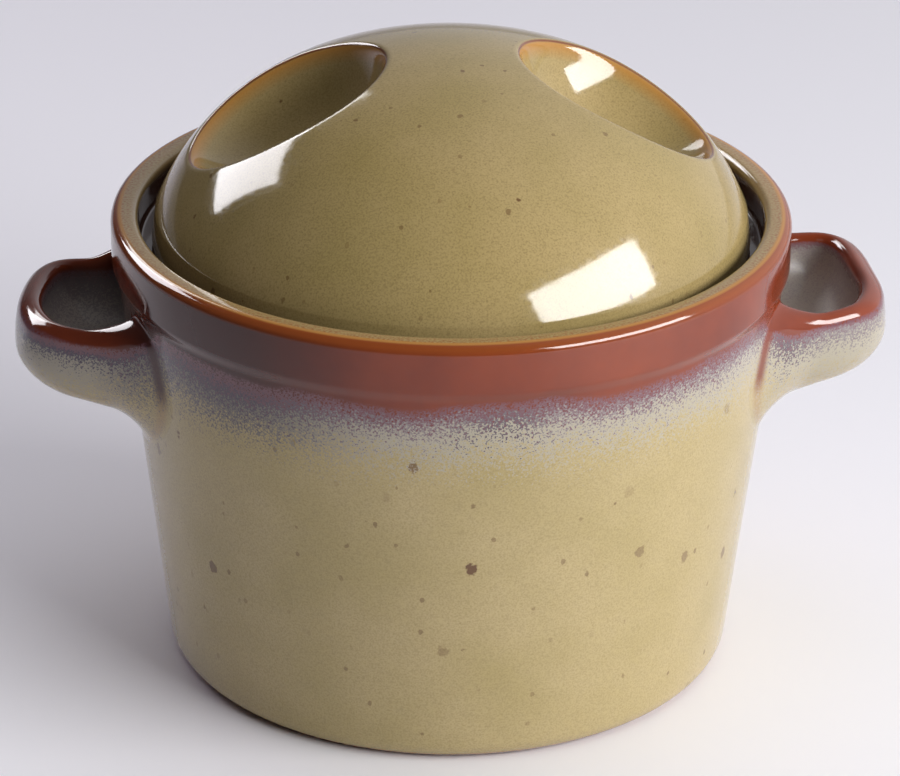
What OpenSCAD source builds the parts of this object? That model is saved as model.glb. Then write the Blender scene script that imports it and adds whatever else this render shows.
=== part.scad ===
// Marmite pot: a small glazed stoneware soup pot with two cupped lug handles
// and a domed lid that lifts off. All sizes are in millimetres.

/* [Pot] */
// Outer radius of the rim
rim_radius = 62; // [58:0.5:66]
// Height from the table to the top of the rim
pot_height = 86.5; // [83:0.5:92]
// How much narrower, in radius, the body is at the base than at the collar
body_taper = 8.4; // [6:0.2:10]
// Height of the plain collar under the rim
collar_height = 10; // [8:0.5:11]
// How far the collar stands proud of the body
collar_step = 0.9; // [0.5:0.1:1.4]
// Thickness of the pot wall
wall = 5.5; // [4.5:0.25:6.5]
// Thickness of the floor above the table
floor_thickness = 6.5; // [5.5:0.5:8]
// Radius of the rounded corner between wall and base
base_round = 4; // [3:0.5:5]
// Radius of the fillet between floor and wall inside
inner_round = 10; // [7:0.5:13]
// Width of the foot ring that stands on the table
foot_width = 6; // [5:0.5:8]
// Depth of the hollow inside the foot ring
foot_hollow = 1.6; // [1:0.2:2.4]

/* [Gallery] */
// Width of the lip from its outer face to the gallery wall
lip_width = 5; // [4.5:0.25:5.5]
// Radius of the lip's outer top edge
lip_round = 1.8; // [1:0.2:2.2]
// Depth of the lid's seat below the rim
gallery_depth = 6.5; // [5.5:0.25:7]
// Width of the ledge that carries the lid
ledge_width = 7; // [6:0.25:8]
// Thickness of the ledge at its inner edge
ledge_thickness = 4; // [3:0.5:5]

/* [Lid] */
// Gap between the lid's edge and the gallery wall
lid_play = 2.4; // [2:0.1:2.8]
// Height of the lid from its seat to its crown
lid_rise = 36.7; // [34:0.5:39]
// Height of the lid's upright edge above its seat
edge_height = 7.6; // [7:0.2:8.4]
// Inward lean of the upright edge over its height
edge_lean = 1.2; // [0.6:0.2:1.6]
// Radius of curvature of the crown
crown_radius = 76; // [70:1:84]
// Distance from the axis where the crown turns into the shoulder
crown_reach = 30; // [27:0.5:32]
// Thickness of the lid
lid_wall = 5.5; // [4.5:0.25:6]
// Width of the ring that the lid rests on
lid_ring = 4.6; // [4.2:0.2:5]

/* [Finger scoops] */
// Distance of a scoop's inner end from the lid's axis
scoop_inner = 12.3; // [11:0.1:14]
// Distance of a scoop's outer end from the lid's axis
scoop_outer = 47.5; // [45:0.5:48.5]
// Depth of a scoop below the line through its two ends
scoop_depth = 11.5; // [10:0.25:12]
// Width of a scoop across the grip
scoop_width = 34.8; // [32:0.2:37]

/* [Handles] */
// How far a handle's tip stands out from the rim
handle_reach = 18; // [16:0.5:20]
// Drop from the rim to the lip of a handle
handle_drop = 16; // [15:0.5:17.5]
// Half the width of a handle, taken at the gauge line
handle_half = 18.4; // [17.4:0.2:19.4]
// Distance from the handle's tip back to the gauge line
handle_gauge = 12; // [10:0.5:13]
// Angle by which the sides of a handle open towards the wall
handle_taper = 16; // [13:1:18]
// Radius of the handle's outer face, seen from above
nose_radius = 25; // [23:0.5:28]
// Radius of the handle's two outer corners
handle_corner = 6; // [5:0.2:6.6]
// Radius of the rounded edge round the finger pocket
handle_lip = 2.3; // [1.6:0.1:2.6]
// Width of the bevel along the handle's outer top edge
handle_bevel = 1.8; // [1.2:0.2:2.2]
// Radius of the finger pocket
pocket_radius = 14.4; // [13.4:0.2:14.8]
// Distance from the handle's tip to the pocket
pocket_land = 4.8; // [4.6:0.1:5.4]
// Radius of the flare that spreads a handle on to the wall
flare_radius = 8; // [7:0.5:9]
// Distance from the wall at which the flare begins
flare_gap = 3.8; // [3:0.2:5]
// Radius of the upright hollow beside each handle root
root_round = 7; // [6:0.5:8]

/* [Hidden] */
$fn = 128;
sand_glaze = [0.70, 0.63, 0.46];
rust_glaze = [0.45, 0.25, 0.19];
over = 1;
// Roundings stand this little proud of the straight sides that they meet
proud = 0.002;

// Body outline
collar_z = pot_height - collar_height;
neck_radius = rim_radius - collar_step;
base_radius = neck_radius - body_taper;
body_lean = atan(body_taper / (collar_z - base_round));
foot_radius = base_radius - base_round;
gallery_radius = rim_radius - lip_width;
lip_inner_round = lip_round * 0.7;
seat_z = pot_height - gallery_depth;
ledge_radius = gallery_radius - ledge_width;
ledge_z = seat_z - ledge_thickness;

// Radius of the outer wall at a height on the tapered body
function body_radius(z) = base_radius + (z - base_round) * tan(body_lean);

// Lid outline: a crown arc that runs on into a shoulder arc, both tangent where they meet
lid_radius = gallery_radius - lid_play;
lid_foot = 1.2;
crown_z = seat_z + lid_rise;
crown_centre = crown_z - crown_radius;
crown_angle = asin(crown_reach / crown_radius);
meet = [crown_reach, crown_centre + crown_radius * cos(crown_angle)];
edge_top = [lid_radius - edge_lean, seat_z + edge_height];
edge_run = edge_top - meet;
crown_normal = [sin(crown_angle), cos(crown_angle)];
shoulder_radius = -(edge_run * edge_run) / (2 * (edge_run * crown_normal));
shoulder = meet - shoulder_radius * crown_normal;
lid_hollow = lid_radius - lid_foot - lid_ring;

// Height of the dome at a distance from its axis
function dome_z(r) = r < crown_reach
    ? crown_centre + sqrt(crown_radius * crown_radius - r * r)
    : shoulder[1] + sqrt(shoulder_radius * shoulder_radius - pow(r - shoulder[0], 2));

// Scoop: a ball sunk below the line through the scoop's two ends
scoop_start = [scoop_inner, dome_z(scoop_inner)];
scoop_end = [scoop_outer, dome_z(scoop_outer)];
scoop_mid = (scoop_start + scoop_end) / 2;
scoop_half = norm(scoop_end - scoop_start) / 2;
scoop_slope = atan((scoop_start[1] - scoop_end[1]) / (scoop_outer - scoop_inner));
scoop_arc = (scoop_half * scoop_half + scoop_depth * scoop_depth) / (2 * scoop_depth);
scoop_squeeze = scoop_width / (2 * scoop_half);

// Handle outline, seen from above and, turned about its own axis, from the side
handle_z = pot_height - handle_drop;
handle_tip = rim_radius + handle_reach;
nose_u = handle_tip - nose_radius;
side_normal = [sin(handle_taper), cos(handle_taper)];
side_way = [-cos(handle_taper), sin(handle_taper)];
side_reach = [handle_tip - handle_gauge, handle_half] * side_normal;
// The corner touches the outer face from inside, and the side
corner_in = side_reach - handle_corner;
corner_off = corner_in - nose_u * side_normal[0];
corner_run = nose_u * side_way[0] - sqrt(pow(nose_radius - handle_corner, 2) - corner_off * corner_off);
corner = corner_in * side_normal + corner_run * side_way;
nose_angle = atan(corner[1] / (corner[0] - nose_u));
side_start = corner + handle_corner * side_normal;
flare_run = (side_start[0] - body_radius(handle_z) - flare_gap) / cos(handle_taper);
side_length = flare_run + 2 * flare_radius;
flare_start = side_start + flare_run * side_way;
flare_centre = flare_start + flare_radius * side_normal;
flare_turn = 76;
flare_end = flare_centre - flare_radius * [sin(flare_turn), cos(flare_turn)];
root_u = foot_radius - wall;
lug_depth = flare_end[1] + over;
pocket_u = handle_tip - pocket_land - pocket_radius;

// Upright hollow beside a handle root: touches the handle's side and runs a little into the wall
hollow_reach = body_radius(handle_z - 12) + root_round - over;
side_gap = side_reach + root_round;
hollow_angle = 90 - handle_taper - acos(side_gap / hollow_reach);
hollow_at = hollow_reach * [cos(hollow_angle), sin(hollow_angle)];

// A disc whose centre may lie off the axis, kept on the positive side
module half_disc(centre, radius) {
    intersection() {
        translate(centre) circle(radius);
        translate([0, -500]) square([500, 1000]);
    }
}

// Pot

module pot_outline() {
    base_tangent = [foot_radius, base_round] + base_round * [cos(body_lean), -sin(body_lean)];
    translate([foot_radius, base_round]) circle(base_round);
    translate([rim_radius - lip_round, pot_height - lip_round]) circle(lip_round);
    polygon([
        [0, 0],
        [foot_radius, 0],
        [foot_radius, base_round],
        base_tangent,
        [neck_radius, collar_z - collar_step / 2],
        [rim_radius, collar_z + collar_step / 2],
        [rim_radius, pot_height - lip_round],
        [rim_radius - lip_round, pot_height - lip_round],
        [rim_radius - lip_round, pot_height],
        [0, pot_height]
    ]);
}

module pot_solid() {
    rotate_extrude() pot_outline();
}

module cavity_outline() {
    inside = base_radius - wall / cos(body_lean);
    round_z = floor_thickness + inner_round;
    wall_at_round = inside + (round_z - base_round) * tan(body_lean);
    round_r = wall_at_round - inner_round / cos(body_lean);
    round_tangent = [round_r, round_z] + inner_round * [cos(body_lean), -sin(body_lean)];
    shoulder_z = ledge_z - ledge_width;
    half_disc([round_r, round_z], inner_round);
    polygon([
        [0, floor_thickness],
        [round_r, floor_thickness],
        [round_r, round_z],
        round_tangent,
        [inside + (shoulder_z - base_round) * tan(body_lean), shoulder_z],
        [ledge_radius, ledge_z],
        [ledge_radius, seat_z + over],
        [0, seat_z + over]
    ]);
}

module gallery_outline() {
    rounding = lip_inner_round;
    translate([0, seat_z]) square([gallery_radius, gallery_depth + over]);
    difference() {
        translate([gallery_radius - over, pot_height - rounding])
            square(rounding + over);
        translate([gallery_radius + rounding, pot_height - rounding]) circle(rounding);
    }
}

module pot_body() {
    color(sand_glaze)
    difference() {
        pot_solid();
        rotate_extrude() cavity_outline();
        rotate_extrude() gallery_outline();
        translate([0, 0, -over]) cylinder(r = foot_radius - foot_width, h = foot_hollow + over);
    }
}

// Handles: a cupped lug, round about its own level axis, with a ball-shaped finger pocket

// Half of the lug's side view, as distance from its axis against distance from the pot's axis
module lug_outline() {
    side_from = side_start - proud * side_normal;
    flare_from = flare_start - proud * side_normal;
    flare_middle = flare_centre - 2 * proud * side_normal;
    far = 2 * nose_radius;
    difference() {
        union() {
            translate([corner[1], corner[0]]) circle(handle_corner);
            intersection() {
                translate([0, nose_u]) circle(nose_radius - proud);
                polygon([[0, nose_u], [far * sin(nose_angle), nose_u + far * cos(nose_angle)], [0, nose_u + far]]);
            }
            polygon([
                [0, root_u],
                [flare_end[1], root_u],
                [flare_end[1], flare_end[0] + over],
                [flare_middle[1], flare_middle[0]],
                [flare_from[1], flare_from[0]],
                [side_from[1], side_from[0]],
                [corner[1], corner[0]],
                [0, corner[0] + over]
            ]);
        }
        translate([flare_middle[1], flare_middle[0]]) circle(flare_radius);
    }
}

// Section of what the bevel along the lug's outer top edge takes away
module bevel_section(radius) {
    flat = radius - handle_bevel;
    away = 3 * handle_bevel;
    polygon([[flat - over, over], [flat + away, over], [flat + away, -away]]);
}

// Bevel that follows the lug's plan: both sides, both corners and the outer face, which runs
// a little past the corners, as each straight side does
module lip_bevel() {
    root = corner + side_length * side_way;
    nose_turn = nose_angle + 4;
    for (side = [0, 1]) {
        mirror([0, side, 0]) {
            translate([corner[0], corner[1], 0])
                rotate([0, 0, nose_angle])
                    rotate_extrude(angle = 90 - handle_taper - nose_angle) bevel_section(handle_corner);
            translate([root[0], root[1], 0])
                rotate([90, 0, 90 - handle_taper])
                    linear_extrude(side_length + over) bevel_section(handle_corner);
        }
    }
    translate([nose_u, 0, 0])
        rotate([0, 0, -nose_turn])
            rotate_extrude(angle = 2 * nose_turn) bevel_section(nose_radius);
}

// Ball-shaped pocket with a rounded mouth
module pocket() {
    rotate_extrude() {
        half_disc([0, -handle_lip], pocket_radius);
        difference() {
            translate([0, -handle_lip]) square([pocket_radius + handle_lip, handle_lip + over]);
            translate([pocket_radius + handle_lip - proud, -handle_lip]) circle(handle_lip);
        }
    }
}

// Upright hollows that blend the lug's sides into the wall
module root_hollows() {
    far = 2 * hollow_at;
    translate([0, 0, -2 * lug_depth])
        linear_extrude(3 * lug_depth)
            for (side = [0, 1])
                mirror([0, side]) {
                    translate(hollow_at) circle(root_round);
                    polygon([[0, 0], far, [0, far[0]]]);
                }
}

// Lower half of the lug, trimmed to the pot's wall
module lug_on_wall() {
    difference() {
        intersection() {
            translate([0, 0, handle_z])
                rotate([0, 90, 0])
                    rotate([0, 0, 180])
                        rotate_extrude() lug_outline();
            translate([root_u, -lug_depth, handle_z - lug_depth])
                cube([2 * lug_depth, 2 * lug_depth, lug_depth]);
        }
        rotate([0, 0, 90]) pot_solid();
    }
}

module lug() {
    difference() {
        lug_on_wall();
        translate([0, 0, handle_z]) {
            translate([pocket_u, 0, 0]) rotate([0, 0, 180]) pocket();
            root_hollows();
            lip_bevel();
        }
    }
}

module right_handle() {
    color(rust_glaze) lug();
}

module left_handle() {
    color(rust_glaze) rotate([0, 0, 180]) lug();
}

// Lid

// Half of the dome's section down to a base; depth moves the surface in
module dome_outline(depth, base) {
    far = 2 * crown_radius;
    edge_foot = [lid_radius, base + lid_foot];
    edge_way = edge_top - [lid_radius, seat_z + lid_foot];
    intersection() {
        translate([0, crown_centre]) circle(crown_radius - depth);
        union() {
            translate(shoulder) circle(shoulder_radius - depth + proud);
            polygon([
                [0, crown_centre],
                [0, crown_centre] + far * crown_normal,
                [0, crown_centre + far]
            ]);
        }
        polygon([
            [0, base],
            [lid_radius - lid_foot, base],
            edge_foot,
            edge_foot + 4 * edge_way,
            [0, base + far]
        ]);
    }
}

// Half of the hollow's section under the lid
module hollow_outline() {
    intersection() {
        dome_outline(lid_wall, seat_z - over);
        translate([0, seat_z - over]) square([lid_hollow, lid_rise]);
    }
}

// Ball, a little narrower across the grip, that hollows a scoop; grow thickens it
module scoop_ball(grow) {
    radius = scoop_arc + grow;
    translate([scoop_mid[0], 0, scoop_mid[1]])
        rotate([0, scoop_slope, 0])
            translate([0, 0, scoop_arc - scoop_depth])
                scale([1, scoop_squeeze, 1]) sphere(radius);
}

module lid_solid() {
    rotate_extrude() dome_outline(0, seat_z);
}

module lid() {
    color(sand_glaze)
    difference() {
        union() {
            difference() {
                lid_solid();
                rotate_extrude() hollow_outline();
            }
            intersection() {
                lid_solid();
                for (turn = [0, 180]) rotate([0, 0, turn]) scoop_ball(lid_wall);
            }
        }
        for (turn = [0, 180]) rotate([0, 0, turn]) scoop_ball(0);
    }
}

pot_body();
left_handle();
right_handle();
lid();
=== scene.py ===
import math
import bmesh
import bpy
import numpy as np
from mathutils import Matrix, Vector


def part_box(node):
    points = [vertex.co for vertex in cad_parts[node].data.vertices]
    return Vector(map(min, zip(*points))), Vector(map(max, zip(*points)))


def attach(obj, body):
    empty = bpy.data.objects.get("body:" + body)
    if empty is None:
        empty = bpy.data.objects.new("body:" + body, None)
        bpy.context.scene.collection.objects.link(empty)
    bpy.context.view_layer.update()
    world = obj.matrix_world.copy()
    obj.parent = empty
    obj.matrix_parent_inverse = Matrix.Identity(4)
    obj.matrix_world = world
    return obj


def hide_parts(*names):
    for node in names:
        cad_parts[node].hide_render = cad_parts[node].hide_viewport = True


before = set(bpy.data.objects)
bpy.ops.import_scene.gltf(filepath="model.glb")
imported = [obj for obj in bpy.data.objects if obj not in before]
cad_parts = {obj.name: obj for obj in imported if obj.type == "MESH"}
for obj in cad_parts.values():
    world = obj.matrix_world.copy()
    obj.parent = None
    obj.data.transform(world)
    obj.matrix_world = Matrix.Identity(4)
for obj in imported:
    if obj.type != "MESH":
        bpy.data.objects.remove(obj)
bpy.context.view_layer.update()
mm = 0.001
weldGap = 1e-6  # metres; points closer than this become one
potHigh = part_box("pot_body")[1]
lidLow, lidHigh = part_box("lid")
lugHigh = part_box("right_handle")[1]
rimRadius = potHigh.x / mm
rimHeight = potHigh.z / mm
seatHeight = lidLow.z / mm
lidRadius = lidHigh.x / mm
crownHeight = lidHigh.z / mm
lugTip = lugHigh.x / mm
lugTop = lugHigh.z / mm
print("frame loaded, rim", round(rimRadius, 2), "mm, lid", round(lidRadius, 2), "mm")


def linear(hexColour):
    channels = [int(hexColour[i:i + 2], 16) / 255 for i in (1, 3, 5)]
    return tuple(c / 12.92 if c < 0.04045 else ((c + 0.055) / 1.055) ** 2.4 for c in channels) + (1,)


def emptyTree(owner):
    owner.use_nodes = True
    owner.node_tree.nodes.clear()
    return owner.node_tree


# Settings that many nodes share
asColour = {"take": 2, "data_type": "RGBA"}
eased = {"interpolation_type": "SMOOTHSTEP"}
seeded = {"noise_dimensions": "4D"}
times = {"operation": "MULTIPLY"}
timesPlus = {"operation": "MULTIPLY_ADD"}


# Adds a node with its settings and links. Inputs that share a name go by number:
# Map Range 0 value, 1 and 2 its span, 3 and 4 what that gives; Mix 0 share, 2 and 3 numbers, 6 and 7 colours
def addNode(tree, kind, inputs=None, take=0, **settings):
    node = tree.nodes.new(kind)
    for name, value in settings.items():
        setattr(node, name, value)
    for key, value in (inputs or {}).items():
        if isinstance(value, bpy.types.NodeSocket):
            tree.links.new(value, node.inputs[key])
        else:
            node.inputs[key].default_value = value
    return node.outputs[take] if len(node.outputs) else node


# Finish shared by all pieces: join doubles, turn faces outwards, shade smooth
def settle(piece):
    shape = bmesh.new()
    shape.from_mesh(piece.data)
    bmesh.ops.remove_doubles(shape, verts=shape.verts, dist=weldGap)
    bmesh.ops.recalc_face_normals(shape, faces=shape.faces)
    shape.to_mesh(piece.data)
    shape.free()
    piece.data.shade_smooth()
    return piece


def newPiece(name, points, faces):
    mesh = bpy.data.meshes.new(name)
    mesh.from_pydata([tuple(p) for p in points], [], [tuple(f) for f in faces])
    piece = bpy.data.objects.new(name, mesh)
    bpy.context.scene.collection.objects.link(piece)
    return piece


# Corner points (radius, height, rounding) to a line of points with an arc at each rounded corner
def roundedLine(corners, arcStep=9, runStep=None):
    line = []
    for i, (r, z, rounding) in enumerate(corners):
        here = Vector((r, z))
        if rounding == 0 or i in (0, len(corners) - 1):
            line.append(here)
            continue
        back = (Vector(corners[i - 1][:2]) - here).normalized()
        ahead = (Vector(corners[i + 1][:2]) - here).normalized()
        half = back.angle(ahead) / 2
        reach = rounding / math.tan(half)
        centre = here + (back + ahead).normalized() * (rounding / math.sin(half))
        start = here + back * reach - centre
        turn = start.angle_signed(here + ahead * reach - centre)
        steps = max(2, round(abs(math.degrees(turn)) / arcStep))
        for k in range(steps + 1):
            line.append(centre + Matrix.Rotation(-turn * k / steps, 2) @ start)
    if runStep is None:
        return line
    fine = [line[0]]
    for a, b in zip(line, line[1:]):
        cuts = max(1, round((b - a).length / runStep))
        fine += [a.lerp(b, k / cuts) for k in range(1, cuts + 1)]
    return fine


# Starts a Geometry Nodes tree with its inputs, each a name and a kind
def startTree(name, inputs):
    tree = bpy.data.node_groups.new(name, "GeometryNodeTree")
    tree.interface.new_socket("Geometry", in_out="OUTPUT", socket_type="NodeSocketGeometry")
    for socket, kind in inputs.items():
        tree.interface.new_socket(socket, in_out="INPUT", socket_type="NodeSocket" + kind)
    return tree, tree.nodes.new("NodeGroupInput").outputs


# Ends a tree with one plain mesh in its glaze
def endTree(tree, skin, coat):
    skin = addNode(tree, "GeometryNodeRealizeInstances", {"Geometry": skin})
    skin = addNode(tree, "GeometryNodeSetMaterial", {"Geometry": skin, "Material": coat})
    addNode(tree, "NodeGroupOutput", {0: skin})
    return tree


# Geometry Nodes: turns a line of profile points round the upright axis, as on a wheel
def turnedTree():
    inputs = {"Profile": "Geometry", "Around": "Int", "Glaze": "Material"}
    tree, given = startTree("turnedClay", inputs)
    rows = addNode(tree, "GeometryNodeAttributeDomainSize", {0: given["Profile"]}, take="Point Count")
    columns = addNode(tree, "ShaderNodeMath", {0: given["Around"], 1: 1.0}, operation="ADD")
    sheet = addNode(tree, "GeometryNodeMeshGrid", {"Vertices X": rows, "Vertices Y": columns}, take="Mesh")
    index = addNode(tree, "GeometryNodeInputIndex")
    ratio = addNode(tree, "ShaderNodeMath", {0: index, 1: columns}, operation="DIVIDE")
    row = addNode(tree, "ShaderNodeMath", {0: ratio}, operation="FLOOR")
    column = addNode(tree, "ShaderNodeMath", {0: index, 1: columns}, operation="MODULO")
    share = addNode(tree, "ShaderNodeMath", {0: column, 1: given["Around"]}, operation="DIVIDE")
    angle = addNode(tree, "ShaderNodeMath", {0: share, 1: 2 * math.pi}, **times)
    place = addNode(tree, "GeometryNodeInputPosition")
    onLine = addNode(tree, "GeometryNodeSampleIndex",
                     {"Geometry": given["Profile"], "Value": place, "Index": row}, data_type="FLOAT_VECTOR")
    turned = addNode(tree, "ShaderNodeVectorRotate", {"Vector": onLine, "Angle": angle},
                     rotation_type="Z_AXIS")
    inner = addNode(tree, "GeometryNodeInputNamedAttribute", {"Name": "inner"}, data_type="FLOAT")
    innerOnLine = addNode(tree, "GeometryNodeSampleIndex",
                          {"Geometry": given["Profile"], "Value": inner, "Index": row}, data_type="FLOAT")
    skin = addNode(tree, "GeometryNodeStoreNamedAttribute",
                   {"Geometry": sheet, "Name": "inner", "Value": innerOnLine},
                   data_type="FLOAT", domain="POINT")
    skin = addNode(tree, "GeometryNodeSetPosition", {"Geometry": skin, "Position": turned})
    skin = addNode(tree, "GeometryNodeMergeByDistance", {"Geometry": skin, "Distance": weldGap})
    return endTree(tree, skin, given["Glaze"])


# Geometry Nodes: presses a ball-shaped scoop into each side of the dome; the wall beneath follows it
def scoopTree():
    numbers = ("Ball Radius", "Slope", "Squeeze", "Edge Softness", "Wall")
    inputs = {"Dome": "Geometry", **dict.fromkeys(numbers, "Float")}
    inputs |= {"Ball Centre": "Vector", "Glaze": "Material"}
    tree, given = startTree("pressedScoops", inputs)
    place = addNode(tree, "GeometryNodeInputPosition")
    parts = addNode(tree, "ShaderNodeSeparateXYZ", {0: place}).node.outputs
    away = addNode(tree, "ShaderNodeMath", {0: parts["X"]}, operation="ABSOLUTE")
    side = addNode(tree, "ShaderNodeMath", {0: parts["X"]}, operation="SIGN")
    folded = addNode(tree, "ShaderNodeCombineXYZ", {"X": away, "Y": parts["Y"], "Z": parts["Z"]})
    # Into the scoop's own frame: Z along its axis, ball centre at the origin
    local = addNode(tree, "ShaderNodeVectorMath", {0: folded, 1: given["Ball Centre"]}, operation="SUBTRACT")
    back = addNode(tree, "ShaderNodeMath", {0: given["Slope"], 1: -1.0}, **times)
    local = addNode(tree, "ShaderNodeVectorRotate", {"Vector": local, "Angle": back}, rotation_type="Y_AXIS")
    own = addNode(tree, "ShaderNodeSeparateXYZ", {0: local}).node.outputs
    inner = addNode(tree, "GeometryNodeInputNamedAttribute", {"Name": "inner"}, data_type="FLOAT")
    radius = addNode(tree, "ShaderNodeMath", {0: inner, 1: given["Wall"], 2: given["Ball Radius"]},
                     **timesPlus)
    across = addNode(tree, "ShaderNodeMath", {0: own["Y"], 1: given["Squeeze"]}, operation="DIVIDE")
    flat = addNode(tree, "ShaderNodeCombineXYZ", {"X": own["X"], "Y": across})
    reach = addNode(tree, "ShaderNodeVectorMath", {0: flat}, take="Value", operation="LENGTH")
    reachTwo = addNode(tree, "ShaderNodeMath", {0: reach, 1: reach}, **times)
    radiusTwo = addNode(tree, "ShaderNodeMath", {0: radius, 1: radius}, **times)
    depthTwo = addNode(tree, "ShaderNodeMath", {0: radiusTwo, 1: reachTwo}, operation="SUBTRACT")
    depthTwo = addNode(tree, "ShaderNodeMath", {0: depthTwo, 1: 0.0}, operation="MAXIMUM")
    depth = addNode(tree, "ShaderNodeMath", {0: depthTwo}, operation="SQRT")
    bowl = addNode(tree, "ShaderNodeMath", {0: depth, 1: -1.0}, **times)
    soft = addNode(tree, "ShaderNodeMath", {0: own["Z"], 1: bowl, 2: given["Edge Softness"]},
                   operation="SMOOTH_MIN")
    pressed = addNode(tree, "ShaderNodeCombineXYZ", {"X": own["X"], "Y": own["Y"], "Z": soft})
    world = addNode(tree, "ShaderNodeVectorRotate", {"Vector": pressed, "Angle": given["Slope"]},
                    rotation_type="Y_AXIS")
    world = addNode(tree, "ShaderNodeVectorMath", {0: world, 1: given["Ball Centre"]}, operation="ADD")
    done = addNode(tree, "ShaderNodeSeparateXYZ", {0: world}).node.outputs
    mirrored = addNode(tree, "ShaderNodeMath", {0: done["X"], 1: side}, **times)
    final = addNode(tree, "ShaderNodeCombineXYZ", {"X": mirrored, "Y": done["Y"], "Z": done["Z"]})
    sunk = addNode(tree, "ShaderNodeMath", {0: own["Z"], 1: soft}, operation="SUBTRACT")
    sunk = addNode(tree, "ShaderNodeMath", {0: sunk, 1: 1 / mm}, **times)
    skin = addNode(tree, "GeometryNodeStoreNamedAttribute",
                   {"Geometry": given["Dome"], "Name": "pressed", "Value": sunk},
                   data_type="FLOAT", domain="POINT")
    skin = addNode(tree, "GeometryNodeSetPosition", {"Geometry": skin, "Position": final})
    return endTree(tree, skin, given["Glaze"])


# Puts node trees on a piece, one after the other, and keeps their result as a plain mesh
def grow(piece, steps):
    for tree, values in steps:
        step = piece.modifiers.new(tree.name, "NODES")
        step.node_group = tree
        for socket in tree.interface.items_tree:
            if socket.in_out == "INPUT" and socket.name in values:
                step[socket.identifier] = values[socket.name]
    ready = piece.evaluated_get(bpy.context.evaluated_depsgraph_get())
    mesh = bpy.data.meshes.new_from_object(ready)
    piece.modifiers.clear()
    piece.data = mesh
    return settle(piece)


# Profile points as a mesh for the turning tree; inner marks the points on the underside
def profileOf(name, outside, inside=()):
    points = [(p.x * mm, 0, p.y * mm) for p in list(outside) + list(inside)]
    piece = newPiece(name, points, [])
    marks = piece.data.attributes.new("inner", "FLOAT", "POINT")
    marks.data.foreach_set("value", [0.0] * len(outside) + [1.0] * len(inside))
    return piece


# Glaze colours of the fired piece, and darker rust, slate and mist that paint shade on the pot's left side
glaze = {
    "sand": "#b6a375",
    "olive": "#ac9a68",
    "lidSand": "#aa9565",
    "lidOlive": "#9e8b58",
    "pepper": "#6f5f3c",
    "iron": "#5c3a24",
    "rust": "#863b1f",
    "rustDark": "#6e2f1c",
    # painted shade: rust on the pot's left side
    "rustInShade": "#421f17",
    "orangeRust": "#88441f",
    "amber": "#b07a35",
    "plum": "#765258",
    "slate": "#8b8280",
    # darker slate pools, also painted shade on the pot's left side
    "slateOfPoolsAndShade": "#463f4e",
    "mist": "#aaa28f",
    # painted shade: mist on the pot's left side
    "mistInShade": "#746c63",
    "tan": "#a0895c",
    "umber": "#4a332c",
}
glaze = {name: linear(tone) for name, tone in glaze.items()}

# Grain of the sand glaze in mm
sandGrain = {
    "clouds": 22.0,
    "mottle": 0.34,  # grains of about 0.2 mm, drawn coarser so that they show
    "ragged": 0.9,
    "raggedness": 1.6,  # this and the next two are shares of a spot's size
    "spotCore": 1.6,
    "spotEdge": 1.88,
    "spotStretch": (1.0, 1.0, 0.75),  # spots are a little taller than wide
    "seedShift": (17.0, 5.0, 11.0),
}


# Speckled sand glaze: fine mottle and pepper, and iron spots that bled through from the clay
def sandLayer(tree, place, seed, tones, spots, pepper):
    g = sandGrain
    first, second = (glaze[tone] for tone in tones)
    shift = tuple(seed * s for s in g["seedShift"])
    own = addNode(tree, "ShaderNodeVectorMath", {0: place, 1: shift}, operation="ADD")
    clouds = addNode(tree, "ShaderNodeTexNoise", {"Vector": own, "Scale": 1 / g["clouds"], "Detail": 3.0})
    clouds = addNode(tree, "ShaderNodeMapRange", {0: clouds, 1: 0.35, 2: 0.65})
    colour = addNode(tree, "ShaderNodeMix", {0: clouds, 6: first, 7: second}, **asColour)
    mottle = addNode(tree, "ShaderNodeTexNoise", {"Vector": own, "Scale": 1 / g["mottle"], "Detail": 2.0})
    mottle = addNode(tree, "ShaderNodeMapRange", {0: mottle, 1: 0.4, 2: 0.78, 4: pepper})
    colour = addNode(tree, "ShaderNodeMix", {0: mottle, 6: colour, 7: glaze["pepper"]}, **asColour)
    # Spots: a ragged ball round each cell's point, cut by the surface, so that no two are alike
    long = addNode(tree, "ShaderNodeVectorMath", {0: own, 1: g["spotStretch"]}, **times)
    ragged = addNode(tree, "ShaderNodeTexNoise", {"Vector": own, "Scale": 1 / g["ragged"], "Detail": 2.0})
    for spacing, size, strength in spots:
        cell = addNode(tree, "ShaderNodeTexVoronoi", {"Vector": long, "Scale": 1 / spacing}).node.outputs
        edge = addNode(tree, "ShaderNodeMath",
                       {0: ragged, 1: g["raggedness"] * size / spacing, 2: cell["Distance"]},
                       **timesPlus)
        spot = addNode(tree, "ShaderNodeMapRange",
                       {0: edge, 1: g["spotCore"] * size / spacing, 2: g["spotEdge"] * size / spacing,
                        3: strength, 4: 0.0})
        tone = addNode(tree, "ShaderNodeSeparateColor", {0: cell["Color"]})  # each of its own strength
        spot = addNode(tree, "ShaderNodeMath", {0: spot, 1: tone}, **times)
        colour = addNode(tree, "ShaderNodeMix", {0: spot, 6: colour, 7: glaze["iron"]}, **asColour)
    return colour


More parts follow.
